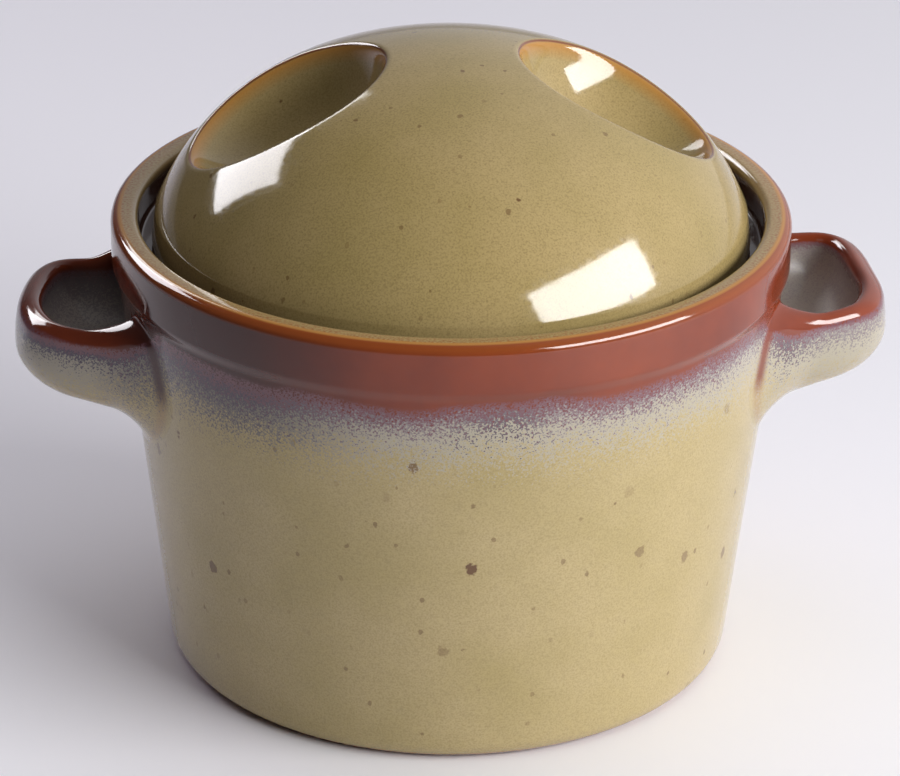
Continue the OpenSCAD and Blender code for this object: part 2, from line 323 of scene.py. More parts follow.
# The rust dip and the bands that run down from it, in mm
dip = {
    "lugSide": (21.0, 29.0),  # sideways from a lug's middle: still on it, and clear of it
    "underLugTop": 1.3,
    "underCollar": 1.2,
    "lugPace": (1.5, 2.4),  # how fast the dark bands go by below the lip, left lug and right
    "paceSpan": (-40.0, 40.0),
    "lugDark": 4.8,  # depth at which the dark bands are over
    "mistStart": 2.0,
    "mistPace": 0.65,
    # Painted shade on the pot's left side: where it starts and is full in X, and where it lessens near the
    # left lug's tip
    "paintedLeftShade": (-12.0, -42.0),
    "rustShadeTip": (-56.0, -63.0),  # painted shade on the rust lessens again at the left lug's tip
    "mistShadeTip": (-55.0, -66.0),
    "driftSize": 19.0,
    "sway": 1.2,
    "grainSize": 0.32,  # grains of about 0.2 mm, drawn coarser so that they show
    "speckle": (3.2, 1.7),  # how far grains stray on the pot, and at the lugs' tips
    "speckleSpan": (58.0, 67.0),
    "poolSize": 26.0,
    "poolSpan": (56.0, 66.0),
    "plum": (0.0, 1.8),
    "slate": (2.2, 4.8),
    "mist": (4.6, 7.0),
    "sand": (8.0, 14.0),
    "rustClouds": 14.0,
}


# How far below the rust dip's edge: it ends under the collar all round, and on the lugs just below their lips
def dipDepth(tree, parts):
    near, clear = dip["lugSide"]
    sideways = addNode(tree, "ShaderNodeMath", {0: parts["Y"]}, operation="ABSOLUTE")
    edge = addNode(tree, "ShaderNodeMapRange",
                   {0: sideways, 1: near, 2: clear, 3: lugTop - dip["underLugTop"],
                    4: potShape["collarHeight"] - dip["underCollar"]}, **eased)
    depth = addNode(tree, "ShaderNodeMath", {0: edge, 1: parts["Z"]}, operation="SUBTRACT")
    # On the lugs the dark bands are thin and the mist below them wide
    left, right = dip["paceSpan"]
    leftPace, rightPace = dip["lugPace"]
    pace = addNode(tree, "ShaderNodeMapRange", {0: parts["X"], 1: left, 2: right, 3: leftPace, 4: rightPace})
    quick = addNode(tree, "ShaderNodeMath", {0: depth, 1: pace}, **times)
    quick = addNode(tree, "ShaderNodeMath", {0: quick, 1: dip["lugDark"]}, operation="MINIMUM")
    slow = addNode(tree, "ShaderNodeMath", {0: depth, 1: dip["mistStart"]}, operation="SUBTRACT")
    slow = addNode(tree, "ShaderNodeMath", {0: slow, 1: 0.0}, operation="MAXIMUM")
    onLug = addNode(tree, "ShaderNodeMath", {0: slow, 1: dip["mistPace"], 2: quick}, **timesPlus)
    far = addNode(tree, "ShaderNodeMapRange", {0: sideways, 1: near, 2: clear})
    return addNode(tree, "ShaderNodeMix", {0: far, 2: onLug, 3: depth})


# Painted shade on the pot's left side, turned away from the key light: its share there, and that share
# lessened towards the left lug's tip
def paintedLeftShade(tree, parts, tip, kept):
    start, end = dip["paintedLeftShade"]
    leftShade = addNode(tree, "ShaderNodeMapRange", {0: parts["X"], 1: start, 2: end}, **eased)
    thin = addNode(tree, "ShaderNodeMapRange", {0: parts["X"], 1: tip[0], 2: tip[1], 3: 1.0, 4: kept})
    return leftShade, addNode(tree, "ShaderNodeMath", {0: leftShade, 1: thin}, **times)


# Bands that run down from the rust dip: plum, slate, and a pale mist that thins into the sand glaze
def reactiveBands(tree, place, parts, sand, rust, depth, seed):
    drift = addNode(tree, "ShaderNodeTexNoise",
                    {"Vector": place, "W": seed, "Scale": 1 / dip["driftSize"], "Detail": 2.0}, **seeded)
    sway = addNode(tree, "ShaderNodeMapRange", {0: drift, 1: 0.3, 2: 0.7, 3: -dip["sway"], 4: dip["sway"]})
    level = addNode(tree, "ShaderNodeMath", {0: depth, 1: sway}, operation="ADD")
    # Speckle: each grain takes its colour from higher or lower, and less so towards the lugs' tips
    grain = addNode(tree, "ShaderNodeTexNoise",
                    {"Vector": place, "W": seed + 2, "Scale": 1 / dip["grainSize"], "Detail": 1.0}, **seeded)
    jitter = addNode(tree, "ShaderNodeMapRange", {0: grain, 1: 0.25, 2: 0.75, 3: -1.0, 4: 1.0})
    outward = addNode(tree, "ShaderNodeMath", {0: parts["X"]}, operation="ABSOLUTE")
    onPot, atTip = dip["speckleSpan"]
    most, least = dip["speckle"]
    calmer = addNode(tree, "ShaderNodeMapRange", {0: outward, 1: onPot, 2: atTip, 3: most, 4: least})
    jitter = addNode(tree, "ShaderNodeMath", {0: jitter, 1: calmer}, **times)
    begin = addNode(tree, "ShaderNodeMapRange", {0: level, 1: 0.2, 2: 2.0})
    wider = addNode(tree, "ShaderNodeMapRange", {0: level, 1: 3.0, 2: 10.0, 3: 1.0, 4: 2.3})
    jitter = addNode(tree, "ShaderNodeMath", {0: jitter, 1: begin}, **times)
    level = addNode(tree, "ShaderNodeMath", {0: jitter, 1: wider, 2: level}, **timesPlus)
    # Darker, bluer pools come and go round the pot, with hardly any on the lugs
    pools = addNode(tree, "ShaderNodeTexNoise",
                    {"Vector": place, "W": seed + 7, "Scale": 1 / dip["poolSize"], "Detail": 1.0}, **seeded)
    pools = addNode(tree, "ShaderNodeMapRange", {0: pools, 1: 0.48, 2: 0.62})
    onPot, atTip = dip["poolSpan"]
    fewer = addNode(tree, "ShaderNodeMapRange", {0: outward, 1: onPot, 2: atTip, 3: 1.0, 4: 0.1})
    pools = addNode(tree, "ShaderNodeMath", {0: pools, 1: fewer}, **times)
    # Painted shade on the left side: the slate darkens there as in the pools, and the mist darkens too
    leftShade, shadedMistShare = paintedLeftShade(tree, parts, dip["mistShadeTip"], 0.35)
    pools = addNode(tree, "ShaderNodeMath", {0: pools, 1: leftShade}, operation="MAXIMUM")
    tones = {"plum": glaze["plum"], "sand": sand}
    for tone, share, deeper in (("slate", pools, "slateOfPoolsAndShade"), ("mist", shadedMistShare, "mistInShade")):
        tones[tone] = addNode(tree, "ShaderNodeMix",
                              {0: share, 6: glaze[tone], 7: glaze[deeper]}, **asColour)
    colour = rust
    for tone in ("plum", "slate", "mist", "sand"):
        start, end = dip[tone]
        step = addNode(tree, "ShaderNodeMapRange", {0: level, 1: start, 2: end}, **eased)
        colour = addNode(tree, "ShaderNodeMix", {0: step, 6: colour, 7: tones[tone]}, **asColour)
    return colour


# Rust glaze: iron red in darker and lighter clouds, and painted shade on the pot's left side
def rustLayer(tree, place, parts, seed):
    clouds = addNode(tree, "ShaderNodeTexNoise",
                     {"Vector": place, "W": seed, "Scale": 1 / dip["rustClouds"], "Detail": 3.0}, **seeded)
    clouds = addNode(tree, "ShaderNodeMapRange", {0: clouds, 1: 0.3, 2: 0.7})
    colour = addNode(tree, "ShaderNodeMix", {0: clouds, 6: glaze["rustDark"], 7: glaze["rust"]}, **asColour)
    leftShade = paintedLeftShade(tree, parts, dip["rustShadeTip"], 0.2)[1]
    return addNode(tree, "ShaderNodeMix", {0: leftShade, 6: colour, 7: glaze["rustInShade"]}, **asColour)


# Surface of every glaze: ripple and orange peel in mm, and glass as fired
glassy = {
    "ripple": 9.0,
    "peel": 0.9,
    "peelShare": 0.03,
    "depth": 0.0004,  # in metres, at the strength below
    "strength": 0.12,
    "roughness": (0.05, 0.13),
    "dullness": 0.3,
    "ior": 1.52,
}


# Glassy finish of every glaze: sharp reflections on a surface that is not quite even, duller where it is thin
def glassyFinish(tree, place, colour, dull=0.0):
    g = glassy
    smooth, rough = g["roughness"]
    ripple = addNode(tree, "ShaderNodeTexNoise", {"Vector": place, "Scale": 1 / g["ripple"], "Detail": 1.0})
    peel = addNode(tree, "ShaderNodeTexNoise", {"Vector": place, "Scale": 1 / g["peel"], "Detail": 1.0})
    height = addNode(tree, "ShaderNodeMath", {0: peel, 1: g["peelShare"], 2: ripple}, **timesPlus)
    bump = addNode(tree, "ShaderNodeBump",
                   {"Strength": g["strength"], "Distance": g["depth"], "Height": height})
    matt = addNode(tree, "ShaderNodeMapRange", {0: peel, 1: 0.3, 2: 0.7, 3: smooth, 4: rough})
    matt = addNode(tree, "ShaderNodeMath", {0: dull, 1: g["dullness"], 2: matt}, **timesPlus)
    shader = addNode(tree, "ShaderNodeBsdfPrincipled",
                     {"Base Color": colour, "Roughness": matt, "IOR": g["ior"], "Normal": bump})
    addNode(tree, "ShaderNodeOutputMaterial", {"Surface": shader})


# A material with its place on the piece in mm, and that place's X, Y and Z
def startMaterial(name):
    material = bpy.data.materials.new(name)
    tree = emptyTree(material)
    metres = addNode(tree, "ShaderNodeTexCoord", take="Object")
    place = addNode(tree, "ShaderNodeVectorMath", {0: metres, "Scale": 1 / mm}, operation="SCALE")
    parts = addNode(tree, "ShaderNodeSeparateXYZ", {0: place}).node.outputs
    return material, tree, place, parts


# Pot: thrown profile with foot, collar, lip and the gallery that carries the lid
potShape = {
    "footHollow": 1.6,
    "footInner": 42.7,
    "footSlant": 0.6,
    "footRound": 0.5,
    "baseRadius": 52.7,
    "baseRound": 4.0,
    "neckRadius": 61.1,
    "collarHeight": 76.5,
    "collarEase": 1.5,  # half the height over which the wall steps out to the collar
    "collarCuts": 13,
    "lipRound": 2.0,
    "lipInnerRound": 1.4,
    "galleryRadius": 57.0,
    "ledgeRadius": 50.0,
    "ledgeThickness": 4.0,
    "ledgeRound": 0.8,
    "ledgeUnderRound": 1.5,
    "shoulderRound": 4.0,
    "wall": 5.5,
    "floor": 6.5,
    "floorRound": 10.0,
    "around": 400,
    "along": 3.0,
    "spots": ((4.2, 0.45, 0.55), (8.6, 1.0, 0.95)),  # iron spots: spacing and size in mm, strength
    "pepper": 0.4,
    "footLine": (0.3, 1.6),  # heights between which the brown line at the foot fades
    "rimBands": {"orangeRust": (2.0, 0.8), "amber": (0.22, 0.06)},  # depths below the rim, none and full
    "lipEdge": (2.2, 1.7),  # the lip's tan ends this far in from the rim's radius
    "lipDepth": 1.2,
    "lipWithin": 0.7,  # this far past the gallery's radius still counts as inside
    "lipFreckle": 0.5,
    "freckleSpan": (4.6, 2.2),
    "umberSpan": (2.2, 0.4),  # depths below the rim
    "insideSpan": (8.0, 4.0),  # depths below the seat
}


# Lean of the wall, as millimetres outwards for each millimetre up
def wallLean():
    p = potShape
    return (p["neckRadius"] - p["baseRadius"]) / (p["collarHeight"] - p["baseRound"])


# Outside of the wall at a height: a straight taper, then an eased step out to the collar
def wallRadius(z):
    p = potShape
    low = p["collarHeight"] - p["collarEase"]
    straight = p["baseRadius"] + wallLean() * (np.minimum(z, low) - p["baseRound"])
    t = np.clip((z - low) / (2 * p["collarEase"]), 0, 1)
    return straight + (rimRadius - straight) * t * t * (3 - 2 * t)


def makePot(tree, material):
    p = potShape
    lowEdge = p["baseRadius"] - wallLean() * p["baseRound"]
    ledgeLow = seatHeight - p["ledgeThickness"]
    shoulder = ledgeLow - (p["galleryRadius"] - p["ledgeRadius"])
    wallAt = lambda z: lowEdge + wallLean() * z - p["wall"]
    low, high = (p["collarHeight"] + s * p["collarEase"] for s in (-1, 1))
    collar = np.linspace(low, high, p["collarCuts"])
    corners = [
        (0, p["footHollow"], 0),
        (p["footInner"], p["footHollow"], p["footRound"]),
        (p["footInner"] + p["footSlant"], 0, p["footRound"]),
        (lowEdge, 0, p["baseRound"]),
        *[(float(wallRadius(z)), float(z), 0) for z in collar],
        (rimRadius, rimHeight, p["lipRound"]),
        (p["galleryRadius"], rimHeight, p["lipInnerRound"]),
        (p["galleryRadius"], seatHeight, p["ledgeRound"]),
        (p["ledgeRadius"], seatHeight, p["ledgeRound"]),
        (p["ledgeRadius"], ledgeLow, p["ledgeUnderRound"]),
        (wallAt(shoulder), shoulder, p["shoulderRound"]),
        (wallAt(p["floor"]), p["floor"], p["floorRound"]),
        (0, p["floor"], 0),
    ]
    pot = profileOf("potBody", roundedLine(corners, runStep=p["along"]))
    return grow(pot, [(tree, {"Around": p["around"], "Glaze": material})])


# Reactive stoneware glaze, dipped at the rim: rust collar over a speckled haze, amber where the lip thins it
def potGlaze():
    p = potShape
    material, tree, place, parts = startMaterial("dippedStonewareGlaze")
    flat = addNode(tree, "ShaderNodeCombineXYZ", {"X": parts["X"], "Y": parts["Y"]})
    radius = addNode(tree, "ShaderNodeVectorMath", {0: flat}, take="Value", operation="LENGTH")
    sand = sandLayer(tree, place, 1.0, ("olive", "sand"), p["spots"], p["pepper"])
    # Glaze thins to a brown line round the foot
    low, high = p["footLine"]
    foot = addNode(tree, "ShaderNodeMapRange", {0: parts["Z"], 1: low, 2: high, 3: 0.8, 4: 0.0})
    sand = addNode(tree, "ShaderNodeMix", {0: foot, 6: sand, 7: glaze["rust"]}, **asColour)
    # From the rim's edge down: amber, then orange rust that turns to plain rust
    rust = rustLayer(tree, place, parts, 4.0)
    for tone, (low, high) in p["rimBands"].items():
        step = addNode(tree, "ShaderNodeMapRange", {0: parts["Z"], 1: rimHeight - low, 2: rimHeight - high})
        rust = addNode(tree, "ShaderNodeMix", {0: step, 6: rust, 7: glaze[tone]}, **asColour)
    colour = reactiveBands(tree, place, parts, sand, rust, dipDepth(tree, parts), 2.0)
    # On top the lip is tan, freckled with rust towards its outer edge
    tan = addNode(tree, "ShaderNodeMix", {0: 0.65, 6: sand, 7: glaze["tan"]}, **asColour)
    freckle = addNode(tree, "ShaderNodeTexNoise",
                      {"Vector": place, "Scale": 1 / p["lipFreckle"], "Detail": 2.0})
    freckle = addNode(tree, "ShaderNodeMapRange", {0: freckle, 1: 0.35, 2: 0.7})
    inner, outer = (rimRadius - s for s in p["freckleSpan"])
    more = addNode(tree, "ShaderNodeMapRange", {0: radius, 1: inner, 2: outer, 3: 0.2, 4: 0.75})
    freckle = addNode(tree, "ShaderNodeMath", {0: freckle, 1: more}, **times)
    tan = addNode(tree, "ShaderNodeMix", {0: freckle, 6: tan, 7: glaze["orangeRust"]}, **asColour)
    inner, outer = (rimRadius - s for s in p["lipEdge"])
    lip = addNode(tree, "ShaderNodeMapRange", {0: radius, 1: inner, 2: outer, 3: 1.0, 4: 0.0})
    lipLow = rimHeight - p["lipDepth"]
    above = addNode(tree, "ShaderNodeMath", {0: parts["Z"], 1: lipLow}, operation="GREATER_THAN")
    lip = addNode(tree, "ShaderNodeMath", {0: lip, 1: above}, **times)
    colour = addNode(tree, "ShaderNodeMix", {0: lip, 6: colour, 7: tan}, **asColour)
    # The gallery under the lip is umber, the inside of the pot sand
    bound = p["galleryRadius"] + p["lipWithin"]
    within = addNode(tree, "ShaderNodeMath", {0: radius, 1: bound}, operation="LESS_THAN")
    low, high = (rimHeight - s for s in p["umberSpan"])
    under = addNode(tree, "ShaderNodeMapRange", {0: parts["Z"], 1: low, 2: high, 3: 1.0, 4: 0.0})
    low, high = (seatHeight - s for s in p["insideSpan"])
    gallery = addNode(tree, "ShaderNodeMapRange", {0: parts["Z"], 1: low, 2: high})
    inside = addNode(tree, "ShaderNodeMix", {0: under, 6: tan, 7: glaze["umber"]}, **asColour)
    inside = addNode(tree, "ShaderNodeMix", {0: gallery, 6: sand, 7: inside}, **asColour)
    colour = addNode(tree, "ShaderNodeMix", {0: within, 6: colour, 7: inside}, **asColour)
    glassyFinish(tree, place, colour)
    return material


# Lid: a turned dome of two arcs that meet at a tangent, with a finger scoop on each side
lidShape = {
    "crownRadius": 76.0,
    "crownReach": 30.0,
    "edgeHeight": 6.4,
    "edgeLean": 0.67,
    "edgeRound": 1.2,
    "foot": 1.2,  # slant under the edge band
    "footRounds": (0.6, 0.4),
    "wall": 5.5,
    "ring": 4.6,
    "hollowGap": 0.3,  # the ring's inner wall keeps clear of the dome, the seat and the last ring
    "hollowRise": 0.8,
    "hollowDrop": 0.6,
    "scoopInner": 12.3,
    "scoopOuter": 47.5,
    "scoopDepth": 11.5,
    "scoopWidth": 34.8,
    "edgeSoftness": 2.6,
    "around": 512,
    "along": 0.55,  # mm between rings, fine enough for the scoop edges
    "alongUnder": 1.6,
    "spots": ((4.0, 0.36, 0.6), (6.4, 0.55, 0.9)),  # iron spots: spacing and size in mm, strength
    "pepper": 0.55,
    "amberIn": (0.2, 0.7),  # how far the surface is pressed in where the amber band starts and ends
    "amberOut": (1.0, 3.6),
    "lineOff": (0.36, 0.6),  # how far off the ball the rust line fades, and how far pressed in
    "lineDepth": (0.38, 0.6),
}


# Dome heights: the crown arc, then the shoulder arc that carries on from it
def domeArcs():
    p = lidShape
    centre = crownHeight - p["crownRadius"]
    angle = math.asin(p["crownReach"] / p["crownRadius"])
    normal = Vector((math.sin(angle), math.cos(angle)))
    meet = Vector((0, centre)) + p["crownRadius"] * normal
    edge = Vector((lidRadius - p["edgeLean"], seatHeight + p["edgeHeight"]))
    run = edge - meet
    shoulderRadius = -run.length_squared / (2 * run.dot(normal))
    return centre, angle, meet - shoulderRadius * normal, shoulderRadius, edge


def domeHeight(r):
    centre, _, shoulder, shoulderRadius, _ = domeArcs()
    if r < lidShape["crownReach"]:
        return centre + math.sqrt(lidShape["crownRadius"] ** 2 - r * r)
    return shoulder.y + math.sqrt(shoulderRadius ** 2 - (r - shoulder.x) ** 2)


# The ball that presses a scoop: radius, slope of its axis, squeeze sideways, centre
def scoopBall():
    p = lidShape
    start = Vector((p["scoopInner"], domeHeight(p["scoopInner"])))
    end = Vector((p["scoopOuter"], domeHeight(p["scoopOuter"])))
    half = (end - start).length / 2
    slope = math.atan2(start.y - end.y, end.x - start.x)
    ball = (half ** 2 + p["scoopDepth"] ** 2) / (2 * p["scoopDepth"])
    middle = (start + end) / 2 + (ball - p["scoopDepth"]) * Vector((math.sin(slope), math.cos(slope)))
    return ball, slope, p["scoopWidth"] / (2 * half), Vector((middle.x, 0, middle.y))


def makeLid(turning, pressing, material):
    p = lidShape
    centre, crownAngle, shoulder, shoulderRadius, edge = domeArcs()
    endAngle = math.atan2(edge.x - shoulder.x, edge.y - shoulder.y)

    def dome(inset, last, spacing):
        crown = p["crownRadius"] - inset
        bend = shoulderRadius - inset
        rings = round(crown * crownAngle / spacing)
        line = [Vector((crown * math.sin(a), centre + crown * math.cos(a)))
                for a in (crownAngle * k / rings for k in range(rings))]
        rings = round(bend * (last - crownAngle) / spacing)
        return line + [shoulder + bend * Vector((math.sin(a), math.cos(a)))
                       for a in (crownAngle + (last - crownAngle) * k / rings for k in range(rings + 1))]

    outer = dome(0, endAngle, p["along"])
    ringOuter = lidRadius - p["foot"]
    hollow = ringOuter - p["ring"]
    band = roundedLine([
        (outer[-2].x, outer[-2].y, 0),
        (edge.x, edge.y, p["edgeRound"]),
        (lidRadius, seatHeight + p["foot"], p["footRounds"][0]),
        (ringOuter, seatHeight, p["footRounds"][1]),
        (hollow, seatHeight, 0),
    ], arcStep=15)
    under = dome(p["wall"], math.pi / 2, p["alongUnder"])
    under = [q for q in under if q.x < hollow - p["hollowGap"] and q.y > seatHeight]
    low, high = seatHeight + p["hollowRise"], under[-1].y - p["hollowDrop"]
    under = [Vector((hollow, low)), Vector((hollow, high))] + under[::-1]
    ball, slope, squeeze, middle = scoopBall()
    lid = profileOf("lidDome", outer[:-1] + band[1:], under)
    return grow(lid, [
        (turning, {"Around": p["around"], "Glaze": material}),
        (pressing, {"Ball Radius": ball * mm, "Slope": slope, "Squeeze": squeeze,
                    "Edge Softness": p["edgeSoftness"] * mm, "Wall": p["wall"] * mm,
                    "Ball Centre": middle * mm, "Glaze": material}),
    ])


# Sand glaze on the lid: thins to amber brown along the scoops' edges
def lidGlaze():
    p = lidShape
    material, tree, place, parts = startMaterial("speckledStonewareGlaze")
    colour = sandLayer(tree, place, 7.0, ("lidOlive", "lidSand"), p["spots"], p["pepper"])
    pressed = addNode(tree, "ShaderNodeAttribute", take="Fac", attribute_name="pressed")
    into = addNode(tree, "ShaderNodeMapRange", {0: pressed, 1: p["amberIn"][0], 2: p["amberIn"][1]})
    out = addNode(tree, "ShaderNodeMapRange",
                  {0: pressed, 1: p["amberOut"][0], 2: p["amberOut"][1], 3: 0.8, 4: 0.0})
    band = addNode(tree, "ShaderNodeMath", {0: into, 1: out}, **times)
    colour = addNode(tree, "ShaderNodeMix", {0: band, 6: colour, 7: glaze["amber"]}, **asColour)
    # A thin rust line follows the edge: just off the ball, and not yet down in the scoop
    ball, slope, squeeze, middle = scoopBall()
    away = addNode(tree, "ShaderNodeMath", {0: parts["X"]}, operation="ABSOLUTE")
    local = addNode(tree, "ShaderNodeCombineXYZ", {"X": away, "Y": parts["Y"], "Z": parts["Z"]})
    local = addNode(tree, "ShaderNodeVectorMath", {0: local, 1: middle}, operation="SUBTRACT")
    local = addNode(tree, "ShaderNodeVectorRotate", {"Vector": local, "Angle": -slope},
                    rotation_type="Y_AXIS")
    local = addNode(tree, "ShaderNodeVectorMath", {0: local, 1: (1, 1 / squeeze, 1)}, **times)
    off = addNode(tree, "ShaderNodeVectorMath", {0: local}, take="Value", operation="LENGTH")
    full, none = (ball + s for s in p["lineOff"])
    near = addNode(tree, "ShaderNodeMapRange", {0: off, 1: full, 2: none, 3: 1.0, 4: 0.0})
    full, none = p["lineDepth"]
    above = addNode(tree, "ShaderNodeMapRange", {0: pressed, 1: full, 2: none, 3: 0.85, 4: 0.0})
    thin = addNode(tree, "ShaderNodeMath", {0: near, 1: above}, **times)
    colour = addNode(tree, "ShaderNodeMix", {0: thin, 6: colour, 7: glaze["rustDark"]}, **asColour)
    glassyFinish(tree, place, colour)
    return material


# Lugs: cupped handles pressed on to the wall, with a finger pocket inside an even lip
lugShape = {
    "hands": (("rightLug", 1, 3.2, 0.8), ("leftLug", -1, -1.4, 0.0)),  # side, fuller behind, longer
    "gauge": 12.0,  # in from the tip, where halfWidth is
    "halfWidth": 18.4,
    "taper": 16.0,
    "noseRadius": 27.0,
    "belly": 8.0,
    "cornerRound": 6.0,
    "squareness": 2.5,
    "lipRound": 2.8,
    "mouthRound": 1.9,
    "lipWidth": 3.9,
    "pocketDepth": 10.5,
    "pocketRound": 8.0,
    "sideFillet": 10.0,
    "footFillet": 4.5,
    "aboveLip": 0.4,  # share by which the fillets shrink above the lip, over the next value
    "aboveLipRise": 4.0,
    "pocketFillet": 2.0,
    "fullerTip": 4.6,
    "fullerSpan": (62.0, 13.0),  # this and the next four are a start and a length
    "fullerSide": (0.0, 18.0),
    "longerSpan": (66.0, 12.0),
    "smearSide": (6.0, 14.0),
    "smearRise": (44.0, 18.0),
    "under": 0.05,  # the smear's end lies this little under the wall, and then dives
    "dive": 0.4,
    "diveShare": 0.3,
    "reachShare": 1.3,
    "embed": 1.0,
    "poolLie": 21.0,  # degrees round the smear where glaze pools, and half the pool's width
    "poolHalf": 11.0,
    "pocketEdge": 1.5,
    "low": (44, -40, 34),
    "room": (2, 40, 11),  # past the tip, sideways, and above the lip
    "step": 0.45,
    "pocketBand": (4.0, 1.2),  # depths below the lip, in the pocket and out of it
    "pocketDip": (-1.0, 11.0),
    "pocketLevel": (2.6, 7.5),
    "pocketCalm": 0.6,
    "poolFull": 0.9,
    "runs": ((46.0, 53.0, 0.25), (58.0, 64.0, 0.9)),  # trail and run: lower end, full height, strength
}


def roundMax(a, b, r):
    return np.minimum(-r, np.maximum(a, b)) + np.hypot(np.maximum(r + a, 0), np.maximum(r + b, 0))


def roundMin(a, b, r):
    return -roundMax(-a, -b, r)


# From 0 to 1 over a length, eased at both ends
def ease(value, start, length):
    t = np.clip((value - start) / length, 0, 1)
    return t ** 2 * (3 - 2 * t)


# Signed distance to a lug in mm, below zero in the clay; also where glaze pools, and what is in the pocket
def lugField(q, behind, fuller, longer):
    p = lugShape
    x, y, z = q[..., 0], q[..., 1], q[..., 2]
    wall = np.hypot(x, y) - wallRadius(z)
    # Squeezed on by hand: the side behind is fuller towards the tip, and one lug a little longer
    y = behind * y
    y = y - (fuller + p["fullerTip"] * ease(x, *p["fullerSpan"])) * ease(y, *p["fullerSide"])
    x = x - longer * ease(x, *p["longerSpan"])
    down = np.minimum(z - lugTop, 0)
    power = p["squareness"]
    girth = (np.abs(y) ** power + np.abs(down) ** power) ** (1 / power)
    taper = math.radians(p["taper"])
    reach = (lugTip - p["gauge"]) * math.sin(taper) + p["halfWidth"] * math.cos(taper)
    # The nose is part of a ball, widest a little below the lip
    noseAt = lugTip - p["noseRadius"]
    rise = z - lugTop + p["belly"]
    nose = np.sqrt((x - noseAt) ** 2 + y ** 2 + rise ** 2) - p["noseRadius"]
    side = x * math.sin(taper) + girth * math.cos(taper) - reach
    cup = roundMax(roundMax(nose, side, p["cornerRound"]), z - lugTop, p["lipRound"])
    # Clay smeared on to the wall: wide at the sides, tighter under the lug and above the lip
    spread = ease(np.abs(y), *p["smearSide"]) * ease(z, *p["smearRise"])
    fillet = p["footFillet"] + (p["sideFillet"] - p["footFillet"]) * spread
    fillet = fillet * (1 - p["aboveLip"] * ease(z, lugTop, p["aboveLipRise"]))
    sink = wall + p["under"] + p["dive"] * ease(cup, fillet, p["diveShare"] * fillet)
    filled = roundMin(cup, sink, fillet)
    # The pocket keeps an even lip: the plan at lip height, set in, with a round floor
    lipNose = np.hypot(x - noseAt, y) - math.sqrt(p["noseRadius"] ** 2 - p["belly"] ** 2)
    lipSide = x * math.sin(taper) + np.abs(y) * math.cos(taper) - reach
    well = roundMax(lipNose, lipSide, p["cornerRound"]) + p["lipWidth"]
    well = roundMax(well, lugTop - p["pocketDepth"] - z, p["pocketRound"])
    hollowed = roundMax(filled, -well, p["mouthRound"])
    aside = 4 * ease(well, -1, 2)  # only in the pocket does the pot's wall show again
    joined = roundMin(hollowed, sink + aside, p["pocketFillet"])
    lie = np.degrees(np.arccos(np.clip(1 - sink / fillet, 0, 1)))  # degrees round the smear, from the wall
    pool = np.where(cup > 0.5, np.clip(1 - np.abs(lie - p["poolLie"]) / p["poolHalf"], 0, 1), 0)
    cupped = np.clip(1 - np.abs(well) / p["pocketEdge"], 0, 1)
    solid = np.maximum(np.maximum(joined, -(wall + p["embed"])), cup - p["reachShare"] * fillet)
    return solid, pool, cupped


# Skin of a field by surface nets, then drawn on to the exact surface
def skinOf(field, low, high, step):
    axes = [np.arange(a, b + step, step) for a, b in zip(low, high)]
    grid = np.stack(np.meshgrid(*axes, indexing="ij"), -1)
    value = field(grid)[0]
    size = np.array(value.shape) - 1
    total = np.zeros(tuple(size) + (3,))
    count = np.zeros(tuple(size))
    corner = list(np.ndindex(2, 2, 2))
    at = lambda a, c: a[tuple(slice(k, k + n) for k, n in zip(c, size))]
    for a in corner:
        for b in corner:
            if sum(b) - sum(a) == 1 and all(m <= n for m, n in zip(a, b)):
                va, vb = at(value, a), at(value, b)
                cut = (va < 0) != (vb < 0)
                t = np.where(cut, va / np.where(va == vb, 1, va - vb), 0)
                way = at(grid, b) - at(grid, a)
                total += np.where(cut[..., None], at(grid, a) + t[..., None] * way, 0)
                count += cut
    mixed = count > 0
    number = np.full(mixed.shape, -1)
    number[mixed] = np.arange(mixed.sum())
    points = total[mixed] / count[mixed][:, None]
    faces = []
    for axis in range(3):
        u, v = [d for d in range(3) if d != axis]
        ahead = [slice(1, -1)] * 3
        ahead[axis] = slice(0, -1)
        after = list(ahead)
        after[axis] = slice(1, None)
        first, second = value[tuple(ahead)] < 0, value[tuple(after)] < 0
        where = np.argwhere(first != second)
        where[:, [u, v]] += 1
        flip = first[first != second]
        ring = []
        for du, dv in ((0, 0), (-1, 0), (-1, -1), (0, -1)):
            cell = where.copy()
            cell[:, u] += du
            cell[:, v] += dv
            ring.append(number[tuple(cell.T)])
        quads = np.stack(ring, 1)
        quads[flip] = quads[flip][:, ::-1]
        faces.append(quads)
    # Short steps down the slope on to the surface
    probe, longest = 0.01, 0.3 * step
    for k in range(4):
        here = field(points)[0]
        slopes = [(field(points + nudge)[0] - field(points - nudge)[0]) / (2 * probe)
                  for nudge in probe * np.eye(3)]
        slope = np.stack(slopes, 1)
        move = here[:, None] * slope / np.maximum((slope ** 2).sum(1), 0.2)[:, None]
        points = points - np.clip(move, -longest, longest)
    return points, np.concatenate(faces)


def makeLugs(material):
    p = lugShape
    high = tuple(a + b for a, b in zip((lugTip, 0, lugTop), p["room"]))
    lugs = []
    for name, side, fuller, longer in p["hands"]:
        field = lambda q: lugField(q, side, fuller, longer)
        points, faces = skinOf(field, p["low"], high, p["step"])
        marks = dict(zip(("pooling", "pocket"), field(points)[1:]))
        lug = newPiece(name, points * mm * np.array((side, side, 1)), faces)
        for mark, values in marks.items():
            layer = lug.data.attributes.new(mark, "FLOAT", "POINT")
            layer.data.foreach_set("value", values.astype(np.float32))
        lug.data.materials.append(material)
        lugs.append(settle(lug))
    return lugs


